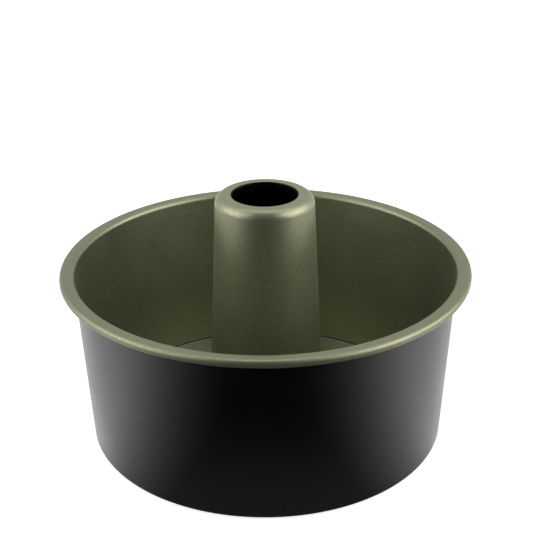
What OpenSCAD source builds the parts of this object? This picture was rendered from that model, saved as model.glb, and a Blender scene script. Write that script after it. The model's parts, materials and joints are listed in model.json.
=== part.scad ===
// Two-piece angel food cake pan: an outer ring of pressed sheet, and a loose floor with a centre tube
// that lifts out of it. Every sheet piece is one bent strip turned round the Z axis.
// The origin is the centre of the pan on the surface that it stands on, and +Z is up.

/* [Outer ring] */
// Height of the ring from the table to the top of the rim
ring_h = 110; // [80:1:140]
// Inside diameter of the wall, carried up to the top of the rim
mouth_d = 232; // [228:1:280]
// Outside diameter of the wall, carried down to the table
base_d = 221.2; // [180:0.2:226]
// Thickness of the sheet that the ring is pressed from
ring_t = 0.8; // [0.5:0.1:1.2]
// Outside radius of the bend at the foot of the wall
foot_bend_r = 2.5; // [1.8:0.1:5]
// Width of the ledge that carries the floor, from the outside of the wall
ledge_w = 10; // [7:0.5:20]

/* [Rim] */
// Width of the rim from the inside of the wall to its outer edge
rim_w = 9; // [7:0.5:16]
// Radius of the bend from the wall to the rim, on the food side
rim_bend_r = 3; // [1.5:0.1:4]
// Diameter of the wire that the edge is rolled round
wire_d = 3.2; // [2:0.1:3.6]
// Room between the wire and the sheet rolled round it
wire_play = 0.05; // [0.02:0.01:0.1]

/* [Floor] */
// Thickness of the floor
floor_t = 0.8; // [0.5:0.1:1.4]
// Room between the edge of the floor and the foot bend
floor_play = 0.4; // [0.3:0.1:2]
// Height that the hub round the tube is pressed up, which hides the seam underneath
hub_rise = 1.4; // [1.1:0.1:3]
// Width of the raised hub beyond the seam
hub_margin = 5; // [3:0.5:15]
// Radius of the bends at the hub's edge, along the middle of the sheet
hub_bend_r = 1.1; // [0.8:0.1:1.3]

/* [Centre tube] */
// Height of the tube's top above the rim
tube_above_rim = 44; // [20:1:70]
// Outside diameter of the tube at its neck, where it goes through the floor
tube_foot_d = 72.6; // [66:0.2:100]
// Outside diameter of the tube's cone, carried up to its top
tube_top_d = 59.8; // [58:0.2:72]
// Thickness of the tube's sheet
tube_t = 0.6; // [0.4:0.1:0.9]
// Outside radius of the shoulder at the top
shoulder_r = 6; // [2:0.5:7]
// Diameter of the hole in the top, which a bottle's neck goes through
hole_d = 39.4; // [24:0.2:41]
// Radius of the edge round the hole
hole_bend_r = 1.2; // [1:0.1:2]
// Depth of the lip turned down round the hole, from the tube's top
lip_h = 5; // [3:0.5:12]

/* [Seam] */
// Width of the tube's flange under the floor
seam_w = 4.5; // [3:0.5:10]
// Radius of the bend from the tube to that flange, on the side of the floor
seam_bend_r = 0.3; // [0.2:0.1:1]
// Depth of the bead rolled out of the tube above the floor
bead_depth = 1.3; // [1.2:0.1:2.5]
// Radius of the bead's bends, along the middle of the sheet
bead_bend_r = 0.8; // [0.6:0.1:0.9]
// Room between the floor and the bead, and between the floor and the neck's bend
seam_play = 0.05; // [0.02:0.01:0.1]

/* [Hidden] */
$fn = 128;
coat_black = "#1b1c1b";
coat_olive = "#8c8b73";
bare_steel = "#a6a8aa";
wall_low_r = base_d / 2;
wall_lean = atan2(mouth_d / 2 + ring_t - wall_low_r, ring_h);
rim_r = mouth_d / 2 + rim_w;
// The wall's middle line at a height, a half thickness in from its outside
function wall_mid_r(z) = wall_low_r - ring_t / 2 / cos(wall_lean) + z * tan(wall_lean);
// Middle radius of the roll round the wire, and the height of the roll's centre
roll_r = wire_d / 2 + wire_play + ring_t / 2;
roll_z = ring_h - ring_t / 2 - roll_r;
roll_centre_r = rim_r - ring_t / 2 - roll_r;
// The ledge is flat up to where the inside of the foot bend begins
ledge_flat_r = wall_low_r - foot_bend_r * (1 - sin(wall_lean)) / cos(wall_lean);
floor_r = ledge_flat_r - floor_play;
floor_z = ring_t + floor_t / 2;
hub_z = floor_z + hub_rise;
neck_r = tube_foot_d / 2;
seam_r = neck_r + seam_w;
hub_r = seam_r + hub_margin;
floor_hole_r = neck_r + seam_bend_r + seam_play;
// A ramp at 45 degrees joins the hub to the floor, so it is as wide as it is high
hub_ramp_w = hub_rise;
seam_z = hub_z - floor_t / 2 - tube_t / 2;
// The bead's flanks lean out by this angle, and its first bend begins just above the floor
bead_lean = 45;
bead_start_z = hub_z + floor_t / 2 + seam_play + bead_bend_r * tan(bead_lean / 2);
bead_half_h = bead_depth / tan(bead_lean);
bead_end_z = bead_start_z + 2 * bead_half_h;
tube_h = ring_h + tube_above_rim;
// A bend is drawn in steps of at most this angle, and points closer than least_run are one point
bend_step = 10;
least_run = 0.001;

function unit(v) = v / norm(v);
function turned_left(v) = [-v[1], v[0]];
function reversed(points) = [for (i = [len(points) - 1:-1:0]) points[i]];
// Points without those that repeat the one before
function without_repeats(points) =
    [for (i = [0:len(points) - 1]) if (i == 0 || norm(points[i] - points[i - 1]) > least_run) points[i]];

// A strip of sheet is a path with its bends. The path holds the corners of the sheet's middle line, as
// radius and height, and bends holds the middle radius of the bend at each corner, with none at the ends.

// Signed angle from the run into corner i to the run out of it
function turn_at(path, i) =
    let (a = unit(path[i] - path[i - 1]), b = unit(path[i + 1] - path[i]))
    atan2(a[0] * b[1] - a[1] * b[0], a * b);

// Points round the bend at corner i, on the left face of the sheet (side 1) or on its right face (side -1)
function bend_points(path, bends, i, side, t) =
    let (
        along = unit(path[i] - path[i - 1]),
        sweep = turn_at(path, i),
        inward = turned_left(along) * sign(sweep),
        reach = bends[i] * abs(tan(sweep / 2)),
        centre = path[i] - along * reach + inward * bends[i],
        start = atan2(-inward[1], -inward[0]),
        face_r = bends[i] - side * sign(sweep) * t / 2,
        steps = ceil(abs(sweep) / bend_step)
    )
    [for (k = [0:steps]) centre + face_r * [cos(start + k / steps * sweep), sin(start + k / steps * sweep)]];

// Point on one face of the sheet at an end of the path
function end_point(end, along, side, t) = end + turned_left(unit(along)) * side * t / 2;

// One face of the strip from end to end
function strip_face(path, bends, side, t) =
    let (last = len(path) - 1)
    concat(
        [end_point(path[0], path[1] - path[0], side, t)],
        [for (i = [1:last - 1]) each bend_points(path, bends, i, side, t)],
        [end_point(path[last], path[last] - path[last - 1], side, t)]
    );

// Ring of bent sheet: the strip's section turned round the Z axis
module sheet_ring(path, bends, t) {
    section = concat(strip_face(path, bends, 1, t), reversed(strip_face(path, bends, -1, t)));
    rotate_extrude() polygon(without_repeats(section));
}

// Wall, rim and ledge, pressed from one sheet, with the edge of the rim rolled three quarters round the wire
module side_ring() {
    top_z = ring_h - ring_t / 2;
    roll_out_r = roll_centre_r + roll_r;
    roll_in_r = roll_centre_r - roll_r;
    path = [
        [wall_low_r - ledge_w, ring_t / 2],
        [wall_mid_r(ring_t / 2), ring_t / 2],
        [wall_mid_r(top_z), top_z],
        [roll_out_r, top_z],
        [roll_out_r, roll_z - roll_r],
        [roll_in_r, roll_z - roll_r],
        [roll_in_r, roll_z]
    ];
    bends = [0, foot_bend_r - ring_t / 2, rim_bend_r - ring_t / 2, roll_r, roll_r, roll_r, 0];
    color(coat_black) sheet_ring(path, bends, ring_t);
}

// Wire inside the rolled rim
module rim_wire() {
    color(bare_steel)
        rotate_extrude()
            translate([roll_centre_r, roll_z])
                circle(d = wire_d);
}

// Loose floor: it rests on the ledge and is pressed up round the tube
module base_plate() {
    path = [
        [floor_r, floor_z],
        [hub_r + hub_ramp_w, floor_z],
        [hub_r, hub_z],
        [floor_hole_r, hub_z]
    ];
    color(coat_olive) sheet_ring(path, [0, hub_bend_r, hub_bend_r, 0], floor_t);
}

// Tapered tube: a flange under the floor and a bead above it lock the two together,
// and the top is turned in to a flat face with a lip round its hole
module centre_tube() {
    mid_r = neck_r - tube_t / 2;
    top_z = tube_h - tube_t / 2;
    lip_r = hole_d / 2 + tube_t / 2;
    path = [
        [seam_r, seam_z],
        [mid_r, seam_z],
        [mid_r, bead_start_z],
        [mid_r + bead_depth, bead_start_z + bead_half_h],
        [mid_r, bead_end_z],
        [tube_top_d / 2 - tube_t / 2, top_z],
        [lip_r, top_z],
        [lip_r, tube_h - lip_h]
    ];
    bends = [
        0,
        seam_bend_r + tube_t / 2,
        bead_bend_r,
        bead_bend_r,
        bead_bend_r,
        shoulder_r - tube_t / 2,
        hole_bend_r - tube_t / 2,
        0
    ];
    color(coat_olive) sheet_ring(path, bends, tube_t);
}

side_ring();
rim_wire();
base_plate();
centre_tube();
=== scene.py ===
import json
import math

import bpy
from mathutils import Matrix, Vector

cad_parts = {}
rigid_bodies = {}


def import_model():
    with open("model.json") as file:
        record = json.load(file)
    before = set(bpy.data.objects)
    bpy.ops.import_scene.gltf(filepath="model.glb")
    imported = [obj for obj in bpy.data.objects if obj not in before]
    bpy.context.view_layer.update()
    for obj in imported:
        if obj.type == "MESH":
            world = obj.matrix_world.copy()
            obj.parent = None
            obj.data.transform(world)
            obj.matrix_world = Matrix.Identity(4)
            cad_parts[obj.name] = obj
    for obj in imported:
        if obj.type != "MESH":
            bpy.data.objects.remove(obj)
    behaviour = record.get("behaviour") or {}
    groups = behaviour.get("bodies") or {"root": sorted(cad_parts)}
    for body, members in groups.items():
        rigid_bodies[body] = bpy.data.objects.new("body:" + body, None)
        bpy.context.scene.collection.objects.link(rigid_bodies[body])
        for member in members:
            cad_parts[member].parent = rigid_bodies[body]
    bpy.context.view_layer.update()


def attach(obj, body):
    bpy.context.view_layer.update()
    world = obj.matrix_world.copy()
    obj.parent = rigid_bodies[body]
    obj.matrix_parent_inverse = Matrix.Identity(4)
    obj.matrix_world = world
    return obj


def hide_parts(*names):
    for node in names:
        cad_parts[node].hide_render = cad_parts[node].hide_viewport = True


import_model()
scene = bpy.context.scene

MM = 0.001

# Sizes of the ring, the floor and the tube in millimetres, as in part.scad
RING_H = 110.0
RING_T = 0.8
MOUTH_R = 116.0
WALL_LOW_R = 110.6
RIM_R = 125.0
LEDGE_W = 10.0
FOOT_BEND_R = 2.5
RIM_BEND_R = 3.0
ROLL_R = 2.05
ROLL_Z = 107.55
FLOOR_T = 0.8
FLOOR_PLAY = 0.4
HUB_RISE = 1.4
HUB_R = 45.8
HUB_BEND_R = 1.1
NECK_R = 36.3
SEAM_R = 40.8
SEAM_BEND_R = 0.3
SEAM_PLAY = 0.05
TUBE_H = 154.0
TUBE_T = 0.6
TUBE_TOP_R = 29.9
SHOULDER_R = 6.0
HOLE_R = 19.7
HOLE_BEND_R = 1.2
LIP_H = 5.0
BEAD_DEPTH = 1.3
BEAD_BEND_R = 0.8
BEAD_LEAN = math.radians(45)

# Where the colours change: painted shade makes the crease between floor and wall black up to this height,
# and the lip in the tube's hole is black inside this radius
CREASE_SHADE_TOP = 3.0
BLACK_INSIDE_R = 20.4

# The CAD mesh's circles reach a little less far than the true circle
RADIUS_FIT = 0.9997
SEGMENTS = 288
# A bend has steps of at most this angle, and at least this many. Points closer than LEAST_RUN are one point
BEND_STEP = math.radians(6)
LEAST_STEPS = 2
LEAST_RUN = 0.0005
SHARP_ANGLE = math.radians(35)

WALL_LEAN = math.atan2(MOUTH_R + RING_T - WALL_LOW_R, RING_H)
LEDGE_FLAT_R = WALL_LOW_R - FOOT_BEND_R * (1 - math.sin(WALL_LEAN)) / math.cos(WALL_LEAN)

# Material slots of every sheet piece
OLIVE, BLACK = 0, 1


# Nodes that the materials, the world and the table share

def new_material(name):
    material = bpy.data.materials.new(name)
    material.use_nodes = True
    tree = material.node_tree
    return material, tree, tree.nodes["Principled BSDF"]


def noise(tree, scale, detail=3.0, rough=0.55):
    where = tree.nodes.new("ShaderNodeTexCoord")
    texture = tree.nodes.new("ShaderNodeTexNoise")
    texture.inputs["Scale"].default_value = scale
    texture.inputs["Detail"].default_value = detail
    texture.inputs["Roughness"].default_value = rough
    tree.links.new(where.outputs["Object"], texture.inputs["Vector"])
    return texture.outputs["Fac"]


def colour_ramp(tree, source, stops):
    """Colour from a value; stops holds places with their colours, from the lowest to the highest."""
    ramp = tree.nodes.new("ShaderNodeValToRGB")
    elements = ramp.color_ramp.elements
    for element, (place, colour) in ((elements[0], stops[0]), (elements[1], stops[-1])):
        element.position = place
        element.color = (*colour, 1)
    for place, colour in stops[1:-1]:
        elements.new(place).color = (*colour, 1)
    tree.links.new(source, ramp.inputs["Fac"])
    return ramp.outputs["Color"]


def value_range(tree, source, span, result, kind="LINEAR"):
    """Carry a value from one range to another, and hold it at the ends."""
    node = tree.nodes.new("ShaderNodeMapRange")
    node.interpolation_type = kind
    for socket, value in zip(("From Min", "From Max", "To Min", "To Max"), (*span, *result)):
        node.inputs[socket].default_value = value
    tree.links.new(source, node.inputs["Value"])
    return node.outputs["Result"]


def maths(tree, operation, a, b):
    node = tree.nodes.new("ShaderNodeMath")
    node.operation = operation
    for socket, value in zip(node.inputs, (a, b)):
        if isinstance(value, (int, float)):
            socket.default_value = value
        else:
            tree.links.new(value, socket)
    return node.outputs[0]


def bump(tree, shader, source, strength, distance):
    node = tree.nodes.new("ShaderNodeBump")
    node.inputs["Strength"].default_value = strength
    node.inputs["Distance"].default_value = distance
    tree.links.new(source, node.inputs["Height"])
    tree.links.new(node.outputs["Normal"], shader.inputs["Normal"])


# Coats and steel. Grain and flecks are finer than a millimetre, and the gloss varies over centimetres.

NOISE_SPAN = (0.3, 0.7)


def olive_coat(name, lift):
    """Satin bronze-olive non-stick coat with a fine metallic fleck; lift makes it lighter."""
    material, tree, shader = new_material(name)
    fleck = noise(tree, scale=1500.0, detail=2.0, rough=0.7)
    stops = [
        (0.30, (0.212, 0.218, 0.136)),
        (0.52, (0.285, 0.293, 0.190)),
        (0.66, (0.345, 0.352, 0.236)),
        (0.74, (0.490, 0.497, 0.365)),
    ]
    lifted = [(place, [part * lift for part in colour]) for place, colour in stops]
    tree.links.new(colour_ramp(tree, fleck, lifted), shader.inputs["Base Color"])
    gloss = value_range(tree, noise(tree, scale=38.0), NOISE_SPAN, (0.33, 0.41))
    tree.links.new(gloss, shader.inputs["Roughness"])
    shader.inputs["Metallic"].default_value = 0.80
    bump(tree, shader, fleck, strength=0.10, distance=0.00005)
    return material


def black_coat(name, shine):
    """Satin near-black coat with a faint grain; shine is how much it reflects."""
    material, tree, shader = new_material(name)
    grain = noise(tree, scale=1200.0, detail=2.0, rough=0.6)
    stops = [
        (0.35, (0.0016, 0.0018, 0.0018)),
        (0.62, (0.0032, 0.0034, 0.0034)),
        (0.76, (0.0065, 0.0068, 0.0066)),
    ]
    tree.links.new(colour_ramp(tree, grain, stops), shader.inputs["Base Color"])
    gloss = value_range(tree, noise(tree, scale=30.0), NOISE_SPAN, (0.23, 0.29))
    tree.links.new(gloss, shader.inputs["Roughness"])
    shader.inputs["Specular IOR Level"].default_value = shine
    bump(tree, shader, grain, strength=0.03, distance=0.00003)
    return material


def drawn_steel():
    """Bare drawn wire."""
    material, tree, shader = new_material("drawn_steel")
    streak = noise(tree, scale=900.0)
    stops = [(0.3, (0.36, 0.36, 0.37)), (0.7, (0.52, 0.52, 0.53))]
    tree.links.new(colour_ramp(tree, streak, stops), shader.inputs["Base Color"])
    gloss = value_range(tree, streak, NOISE_SPAN, (0.28, 0.42))
    tree.links.new(gloss, shader.inputs["Roughness"])
    shader.inputs["Metallic"].default_value = 1.0
    return material


# Painted light: the tube's olive coat is a lighter copy of the wall's, so the tube shows a little lighter
# than the wall. The black inside the tube has little shine, so no gleam shows in it
pan_coats = [olive_coat("olive_nonstick", lift=1.07), black_coat("black_nonstick", shine=1.0)]
tube_coats = [olive_coat("olive_tube_painted_light", lift=1.28), black_coat("black_in_tube", shine=0.08)]
steel = drawn_steel()


# A strip of sheet is a path with its bends. The path holds the corners of the sheet's middle line, as
# radius and height, and bends holds the middle radius of the bend at each corner, with none at the ends.

def turned_left(v):
    return Vector((-v.y, v.x))


def end_point(end, along, side, t):
    return end + turned_left(along.normalized()) * side * t / 2


def strip_face(path, bends, side, t):
    """Points along the left face of the strip (side 1) or along its right face (side -1)."""
    points = [end_point(path[0], path[1] - path[0], side, t)]
    for i in range(1, len(path) - 1):
        along = (path[i] - path[i - 1]).normalized()
        away = (path[i + 1] - path[i]).normalized()
        sweep = math.atan2(along.x * away.y - along.y * away.x, along.dot(away))
        turn = math.copysign(1, sweep)
        inward = turned_left(along) * turn
        reach = bends[i] * abs(math.tan(sweep / 2))
        centre = path[i] - along * reach + inward * bends[i]
        start = math.atan2(-inward.y, -inward.x)
        face_r = bends[i] - side * turn * t / 2
        steps = max(LEAST_STEPS, math.ceil(abs(sweep) / BEND_STEP))
        for k in range(steps + 1):
            angle = start + sweep * k / steps
            points.append(centre + Vector((math.cos(angle), math.sin(angle))) * face_r)
    points.append(end_point(path[-1], path[-1] - path[-2], side, t))
    return points


def sheet_ring(name, path, bends, t, left, right, coats):
    """Ring of bent sheet, turned round Z. left and right are the slots of the coats on the two faces; the
    cut edges have the right one."""
    path = [Vector(corner) for corner in path]
    section = []
    for side, points in ((1, strip_face(path, bends, 1, t)), (-1, strip_face(path, bends, -1, t)[::-1])):
        for point in points:
            if not section or (point - section[-1][0]).length > LEAST_RUN:
                section.append((point, side))
    n = len(section)
    verts = []
    faces = []
    slots = []
    for s in range(SEGMENTS):
        angle = 2 * math.pi * s / SEGMENTS
        here = s * n
        there = (s + 1) % SEGMENTS * n
        for i, (point, side) in enumerate(section):
            r = point.x * RADIUS_FIT * MM
            verts.append((r * math.cos(angle), r * math.sin(angle), point.y * MM))
            j = (i + 1) % n
            faces.append((here + i, here + j, there + j, there + i))
            slots.append(left if side == 1 and section[j][1] == 1 else right)
    mesh = bpy.data.meshes.new(name)
    mesh.from_pydata(verts, [], faces)
    for coat in coats:
        mesh.materials.append(coat)
    mesh.polygons.foreach_set("material_index", slots)
    mesh.validate()
    mesh.update()
    if sum(face.normal.dot(face.center) * face.area for face in mesh.polygons) < 0:
        mesh.flip_normals()
    mesh.shade_smooth()
    mesh.set_sharp_from_angle(angle=SHARP_ANGLE)
    obj = bpy.data.objects.new(name, mesh)
    scene.collection.objects.link(obj)
    return obj


def blacken(obj, chosen):
    """Give the black coat to the faces whose middle is at a chosen radius and height."""
    for face in obj.data.polygons:
        if chosen(math.hypot(face.center.x, face.center.y) / MM, face.center.z / MM):
            face.material_index = BLACK


def wall_mid_r(z):
    return WALL_LOW_R - RING_T / 2 / math.cos(WALL_LEAN) + z * math.tan(WALL_LEAN)


# Outer ring: the olive food side runs over the rim and round the roll, and the outside is black
top_z = RING_H - RING_T / 2
roll_out_r = RIM_R - RING_T / 2
roll_in_r = roll_out_r - 2 * ROLL_R
ring = sheet_ring(
    "pan_ring",
    [
        (WALL_LOW_R - LEDGE_W, RING_T / 2),
        (wall_mid_r(RING_T / 2), RING_T / 2),
        (wall_mid_r(top_z), top_z),
        (roll_out_r, top_z),
        (roll_out_r, ROLL_Z - ROLL_R),
        (roll_in_r, ROLL_Z - ROLL_R),
        (roll_in_r, ROLL_Z),
    ],
    [0, FOOT_BEND_R - RING_T / 2, RIM_BEND_R - RING_T / 2, ROLL_R, ROLL_R, ROLL_R, 0],
    RING_T, OLIVE, BLACK, pan_coats)
# Painted shade: the crease where the floor meets the wall gets the black coat, for the dark line of shade
# there
blacken(ring, lambda r, z: z < CREASE_SHADE_TOP and r > LEDGE_FLAT_R * RADIUS_FIT)
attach(ring, "ring")
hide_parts("side_ring")

# Loose floor: olive on top, black underneath
floor_z = RING_T + FLOOR_T / 2
hub_z = floor_z + HUB_RISE
plate = sheet_ring(
    "pan_floor",
    [
        (LEDGE_FLAT_R - FLOOR_PLAY, floor_z),
        (HUB_R + HUB_RISE, floor_z),
        (HUB_R, hub_z),
        (NECK_R + SEAM_BEND_R + SEAM_PLAY, hub_z),
    ],
    [0, HUB_BEND_R, HUB_BEND_R, 0],
    FLOOR_T, BLACK, OLIVE, pan_coats)
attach(plate, "insert")
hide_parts("base_plate")

# Centre tube: olive outside and on top, black inside, on its flange under the floor and on the lip
neck_mid_r = NECK_R - TUBE_T / 2
seam_z = hub_z - FLOOR_T / 2 - TUBE_T / 2
bead_start_z = hub_z + FLOOR_T / 2 + SEAM_PLAY + BEAD_BEND_R * math.tan(BEAD_LEAN / 2)
bead_half_h = BEAD_DEPTH / math.tan(BEAD_LEAN)
lip_r = HOLE_R + TUBE_T / 2
tube = sheet_ring(
    "pan_tube",
    [
        (SEAM_R, seam_z),
        (neck_mid_r, seam_z),
        (neck_mid_r, bead_start_z),
        (neck_mid_r + BEAD_DEPTH, bead_start_z + bead_half_h),
        (neck_mid_r, bead_start_z + 2 * bead_half_h),
        (TUBE_TOP_R - TUBE_T / 2, TUBE_H - TUBE_T / 2),
        (lip_r, TUBE_H - TUBE_T / 2),
        (lip_r, TUBE_H - LIP_H),
    ],
    [
        0,
        SEAM_BEND_R + TUBE_T / 2,
        BEAD_BEND_R,
        BEAD_BEND_R,
        BEAD_BEND_R,
        SHOULDER_R - TUBE_T / 2,
        HOLE_BEND_R - TUBE_T / 2,
        0,
    ],
    TUBE_T, BLACK, OLIVE, tube_coats)
blacken(tube, lambda r, z: z < hub_z and r > NECK_R + SEAM_BEND_R)
blacken(tube, lambda r, z: z > TUBE_H - LIP_H - TUBE_T and r < BLACK_INSIDE_R)
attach(tube, "insert")
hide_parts("centre_tube")

# The wire keeps its CAD shape and gets its own steel
for o in scene.objects:
    if o.type == "MESH" and o.name.startswith("rim_wire"):
        o.data.materials.clear()
        o.data.materials.append(steel)


# Surroundings: white to the camera. To glossy rays they are dark on the photo's camera side and light at
# the sides and behind, as the photo's reflections show, and dimmer high up and far behind.

# Range of the Y part of a level direction over which the surroundings brighten
BRIGHTENING = (-1.0, -0.2)
BEHIND_SPAN = (0.1, 0.9)
BEHIND_LIGHT = 0.60
ABOVE_SPAN = (0.45, 0.85)
ABOVE_LIGHT = 0.40
DIFFUSE_WORLD = 0.36

TABLE_SIZE = 12.0
TABLE_Z = -0.0004
TABLE_GLOW = 0.95
# Light of the table to the camera beside what it reflects, which makes it white but keeps the shadow
TABLE_LIFT = 0.74
# Least glow of the table close to the pan, and the distances from the middle between which it fades out
NEAR_SPAN = (0.112, 0.20)
NEAR_GLOW = 0.09


def light_by_side(tree, direction):
    """From 0 on the camera's side to 1 at the sides and behind."""
    flat = tree.nodes.new("ShaderNodeVectorMath")
    flat.operation = "MULTIPLY"
    flat.inputs[1].default_value = (1, 1, 0)
    tree.links.new(direction, flat.inputs[0])
    level = tree.nodes.new("ShaderNodeVectorMath")
    level.operation = "NORMALIZE"
    tree.links.new(flat.outputs[0], level.inputs[0])
    parts = tree.nodes.new("ShaderNodeSeparateXYZ")
    tree.links.new(level.outputs[0], parts.inputs[0])
    return value_range(tree, parts.outputs["Y"], BRIGHTENING, (0.0, 1.0), "SMOOTHSTEP")


def make_world():
    world = bpy.data.worlds.new("studio")
    scene.world = world
    world.use_nodes = True
    tree = world.node_tree
    rays = tree.nodes.new("ShaderNodeLightPath").outputs
    direction = tree.nodes.new("ShaderNodeTexCoord").outputs["Generated"]
    heading = tree.nodes.new("ShaderNodeSeparateXYZ")
    tree.links.new(direction, heading.inputs[0])
    behind = value_range(tree, heading.outputs["Y"], BEHIND_SPAN, (1.0, BEHIND_LIGHT), "SMOOTHSTEP")
    above = value_range(tree, heading.outputs["Z"], ABOVE_SPAN, (1.0, ABOVE_LIGHT), "SMOOTHSTEP")
    glossy = maths(tree, "MULTIPLY", light_by_side(tree, direction), behind)
    glossy = maths(tree, "MULTIPLY", glossy, above)
    glossy = maths(tree, "MULTIPLY", rays["Is Glossy Ray"], glossy)
    seen = maths(tree, "MAXIMUM", rays["Is Camera Ray"], rays["Is Transmission Ray"])
    diffuse = maths(tree, "MULTIPLY", rays["Is Diffuse Ray"], DIFFUSE_WORLD)
    total = maths(tree, "ADD", maths(tree, "MAXIMUM", seen, glossy), diffuse)
    background = tree.nodes["Background"]
    background.inputs["Color"].default_value = (1, 1, 1, 1)
    tree.links.new(total, background.inputs["Strength"])


def table_white():
    material, tree, shader = new_material("table_white")
    shader.inputs["Base Color"].default_value = (0.8, 0.8, 0.8, 1)
    shader.inputs["Roughness"].default_value = 0.9
    shader.inputs["Specular IOR Level"].default_value = 0.0
    rays = tree.nodes.new("ShaderNodeLightPath").outputs
    place = tree.nodes.new("ShaderNodeNewGeometry").outputs["Position"]
    distance = tree.nodes.new("ShaderNodeVectorMath")
    distance.operation = "LENGTH"
    tree.links.new(place, distance.inputs[0])
    near = value_range(tree, distance.outputs["Value"], NEAR_SPAN, (NEAR_GLOW, 0.0), "SMOOTHSTEP")
    glow = tree.nodes.new("ShaderNodeEmission")
    light = maths(tree, "MAXIMUM", light_by_side(tree, place), near)
    tree.links.new(maths(tree, "MULTIPLY", light, TABLE_GLOW), glow.inputs["Strength"])
    lift = tree.nodes.new("ShaderNodeEmission")
    tree.links.new(maths(tree, "MULTIPLY", rays["Is Camera Ray"], TABLE_LIFT), lift.inputs["Strength"])
    mix = tree.nodes.new("ShaderNodeMixShader")
    tree.links.new(rays["Is Glossy Ray"], mix.inputs[0])
    tree.links.new(shader.outputs[0], mix.inputs[1])
    tree.links.new(glow.outputs[0], mix.inputs[2])
    both = tree.nodes.new("ShaderNodeAddShader")
    tree.links.new(mix.outputs[0], both.inputs[0])
    tree.links.new(lift.outputs[0], both.inputs[1])
    tree.links.new(both.outputs[0], tree.nodes["Material Output"].inputs["Surface"])
    return material


make_world()

bpy.ops.mesh.primitive_plane_add(size=TABLE_SIZE, location=(0, 0, TABLE_Z))
table = bpy.context.object
table.name = "table"
table.data.materials.append(table_white())

SOFTBOX_W = 1.3
SOFTBOX_H = 1.1


def softbox(name, place, target_z, power):
    """Area light that points at a height on the pan's axis."""
    data = bpy.data.lights.new(name, "AREA")
    data.shape = "RECTANGLE"
    data.size = SOFTBOX_W
    data.size_y = SOFTBOX_H
    data.energy = power
    lamp = bpy.data.objects.new(name, data)
    lamp.location = place
    lamp.rotation_euler = (Vector((0, 0, target_z)) - Vector(place)).to_track_quat("-Z", "Y").to_euler()
    scene.collection.objects.link(lamp)


softbox("softbox_left", place=(-0.95, -0.15, 0.75), target_z=0.08, power=5.0)
softbox("softbox_right", place=(0.95, -0.15, 0.75), target_z=0.08, power=7.5)
softbox("softbox_top", place=(0, 0.35, 1.3), target_z=0.05, power=3.0)

# Camera fitted to the photo's outlines: it looks along +Y and down by PITCH, at a point level with the rim
PICTURE = 533
FOCAL_PIXELS = 1172.0
# The lens axis meets the picture this many pixels below its top
AXIS_ROW = 260.81
PITCH = math.radians(24.632)
ROLL = math.radians(-0.609)
DISTANCE = 0.7174
LOOK_AT = Vector((0.0007, 0, 0.110))

eye = bpy.data.cameras.new("photo_camera")
eye.sensor_width = 36.0
eye.lens = eye.sensor_width * FOCAL_PIXELS / PICTURE
eye.shift_y = (AXIS_ROW - PICTURE / 2) / PICTURE
eye.clip_start = 0.01
camera = bpy.data.objects.new("photo_camera", eye)
camera.matrix_world = (
    Matrix.Translation(LOOK_AT - Vector((0, math.cos(PITCH), -math.sin(PITCH))) * DISTANCE)
    @ Matrix.Rotation(math.pi / 2 - PITCH, 4, "X")
    @ Matrix.Rotation(ROLL, 4, "Z")
)
scene.collection.objects.link(camera)
scene.camera = camera

scene.view_settings.view_transform = "Standard"

bpy.context.view_layer.update()
